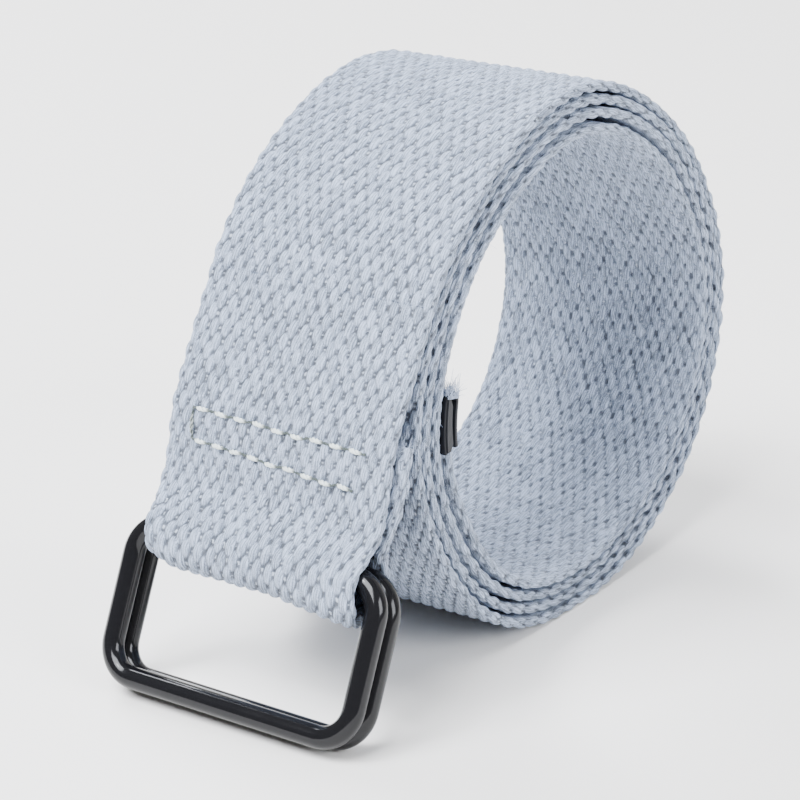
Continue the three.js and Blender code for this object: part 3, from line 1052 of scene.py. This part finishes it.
class BELT_OT_stitching(bpy.types.Operator):
    """Sews the box of white stitches through the front run and the tail"""

    bl_idname = "belt.stitching"
    bl_label = "Stitching"

    def execute(self, context):
        look = context.scene.belt_cloth
        material = thread_material("white thread", look.thread_colour, look.thread_shade)
        upper_left, upper_right, lower_left, lower_right = STITCH_CORNERS
        # The last row, the short left column, is painted 0.7 of the way into shade along its whole length and
        # sewn with a thinner thread.
        rows = [
            (upper_left, upper_right, STITCHES_IN_ROW, 0.0),
            (lower_left, lower_right, STITCHES_IN_ROW, 0.0),
            (upper_left, lower_left, 1, 0.7),
        ]
        parts, hollow = [], []
        generator = np.random.default_rng(STITCH_SEED)
        for (x0, z0), (x1, z1), count, dark in rows:
            for index in range(count):
                share = np.linspace(index, index + 1, STITCH_STEPS) / count
                wobble = 0.12 * generator.normal(size=2)
                local = np.linspace(-1, 1, STITCH_STEPS)
                across = x0 + (x1 - x0) * share
                height = z0 + (z1 - z0) * share + (wobble[0] + wobble[1] * local) * (1 - local ** 4)
                place, outward = front_place(across, height)
                shown = 1 - smoothstep(np.abs(local), 0.30, 0.72)
                path = place + outward * (0.16 * shown - 0.09)[:, None]
                side = np.cross(tangents(path), outward)
                for ply in (0, 1):
                    twist = np.pi * ply + 2.6 * np.pi * local + generator.uniform(0, 0.6)
                    offset = (0.08 + 0.08 * shown)[:, None] * (
                        np.cos(twist)[:, None] * outward + np.sin(twist)[:, None] * side
                    )
                    radius = (0.13 + 0.07 * shown) * (1 - 0.4 * dark)
                    parts.append(tube(path + offset, outward, radius, THREAD_SIDES, False))
                    # Painted shade: darker where the thread dips into the cloth and on the side of each ply
                    # that faces the other.
                    around = np.cos(np.linspace(0, 2 * np.pi, THREAD_SIDES, endpoint=False) - twist[:, None])
                    shade = np.maximum(1 - shown, dark)[:, None] + 0.35 * np.maximum(-around, 0)
                    hollow.append(np.append(np.minimum(shade, 1).ravel(), [1, 1]))
        tube_piece("box_stitching", parts, material, "belt", {"hollow": np.concatenate(hollow)})
        return {"FINISHED"}


def strap_point(distance, across, out):
    """Points of the strap at distances, x and heights off its middle, shifted as the cloth is, and the strap's
    direction at them."""
    ahead, normal = heading(distance)
    sideways, lower = strap_shift(distance, across)
    place = at_distance(LINE, distance) + normal * out[:, None] + DOWN_RINGS * np.reshape(lower, (-1, 1))
    return np.column_stack([across + sideways, place]), np.column_stack([0 * across, ahead])


def fibre(start, way, bend, radius, taper, sides):
    """A thin tube along start + way·t + bend·t^2, above the floor. Its radius falls by the share taper."""
    t = np.linspace(0, 1, FIBRE_STEPS)[:, None]
    path = start + way * t + bend * t ** 2
    path[:, 2] = np.maximum(path[:, 2], FLOOR_CLEARANCE)
    return tube(path, FIBRE_SIDE, radius * (1 - taper * t[:, 0]), sides, False)


class BELT_OT_fibres(bpy.types.Operator):
    """Adds the loose fibres: the frayed ends of the strap and the hairs of its selvages"""

    bl_idname = "belt.fibres"
    bl_label = "Fibres"

    def execute(self, context):
        look = context.scene.belt_cloth
        material = thread_material("loose fibres", look.cloth_colour, look.shade_colour)
        self.frayed_ends(material)
        self.selvage_hairs(material)
        return {"FINISHED"}

    def frayed_ends(self, material):
        """Short bent yarn ends out of the tail's cut and, at the near edge, over the tip's closed end."""
        generator = np.random.default_rng(FRAY_SEED)
        for name, distance, forward, count, spread, thick, longest in (
            ("tail_fray", 0.6, -1, 460, (-18.4, 18.4), 0.65, 1.6),
            ("tip_fray", TIP_FOLD + 0.6, 1, 230, (17.4, 19.5), 1.35, 1.9),
        ):
            parts = []
            for across in generator.uniform(*spread, count):
                out = generator.uniform(-thick, thick)
                start, ahead = strap_point(np.array([distance]), np.array([across]), np.array([out]))
                along = forward * ahead[0]
                reach = longest * generator.uniform(0.35, 1.0)
                bend = generator.normal(size=3) * 0.5
                parts.append(fibre(start, along * reach, bend * reach, FRAY_RADIUS, 0.6, 4))
            shade = np.full(sum(len(points) for points, _, _ in parts), 0.3)
            tube_piece(name, parts, material, "belt", {"hollow": shade})

    def selvage_hairs(self, material):
        """Thin curved hairs that stand off the selvages, three on the near one for each on the far one."""
        generator = np.random.default_rng(HAIR_SEED)
        parts = []
        for index in range(HAIR_COUNT):
            side = 1 if index % 4 else -1
            distance = generator.uniform(LOOP_END + HAIR_START, STRAP_LENGTH - HAIR_END)
            across = side * (half_width(distance) - 0.35)
            out = generator.uniform(-0.5, 0.5)
            start, ahead = strap_point(np.array([distance]), np.array([across]), np.array([out]))
            reach = generator.uniform(0.3, 1.0)
            away = np.array([side * 0.8, 0, 0]) + 0.8 * generator.normal() * ahead[0]
            away = away + 0.2 * generator.normal(size=3)
            bend = 0.5 * generator.normal(size=3)
            parts.append(fibre(start, away * reach, bend * reach, HAIR_RADIUS, 0.5, 3))
        shade = np.zeros(sum(len(points) for points, _, _ in parts))
        tube_piece("selvage_hairs", parts, material, "belt", {"hollow": shade})


class BELT_PT_panel(bpy.types.Panel):
    """Shows the settings and a button for each group of pieces"""

    bl_label = "Double Ring Belt"
    bl_idname = "BELT_PT_panel"
    bl_space_type = "VIEW_3D"
    bl_region_type = "UI"
    bl_category = "Belt"

    def draw(self, context):
        for settings in (context.scene.belt_cloth, context.scene.belt_metal, context.scene.belt_stage):
            box = self.layout.box()
            for label in settings.__annotations__:
                box.prop(settings, label)
        for operator in OPERATORS:
            self.layout.operator(operator.bl_idname)


OPERATORS = (BELT_OT_stage, BELT_OT_webbing, BELT_OT_rings, BELT_OT_tip, BELT_OT_stitching, BELT_OT_fibres)
CLASSES = (BeltClothLook, BeltMetalLook, BeltStageLook, *OPERATORS, BELT_PT_panel)


def register():
    for made in CLASSES:
        bpy.utils.register_class(made)
    bpy.types.Scene.belt_cloth = PointerProperty(type=BeltClothLook)
    bpy.types.Scene.belt_metal = PointerProperty(type=BeltMetalLook)
    bpy.types.Scene.belt_stage = PointerProperty(type=BeltStageLook)


def unregister():
    del bpy.types.Scene.belt_cloth, bpy.types.Scene.belt_metal, bpy.types.Scene.belt_stage
    for made in reversed(CLASSES):
        bpy.utils.unregister_class(made)


def main():
    register()
    bpy.ops.belt.stage()
    bpy.ops.belt.webbing()
    bpy.ops.belt.rings()
    bpy.ops.belt.tip()
    bpy.ops.belt.stitching()
    bpy.ops.belt.fibres()


if __name__ == "__main__":
    main()
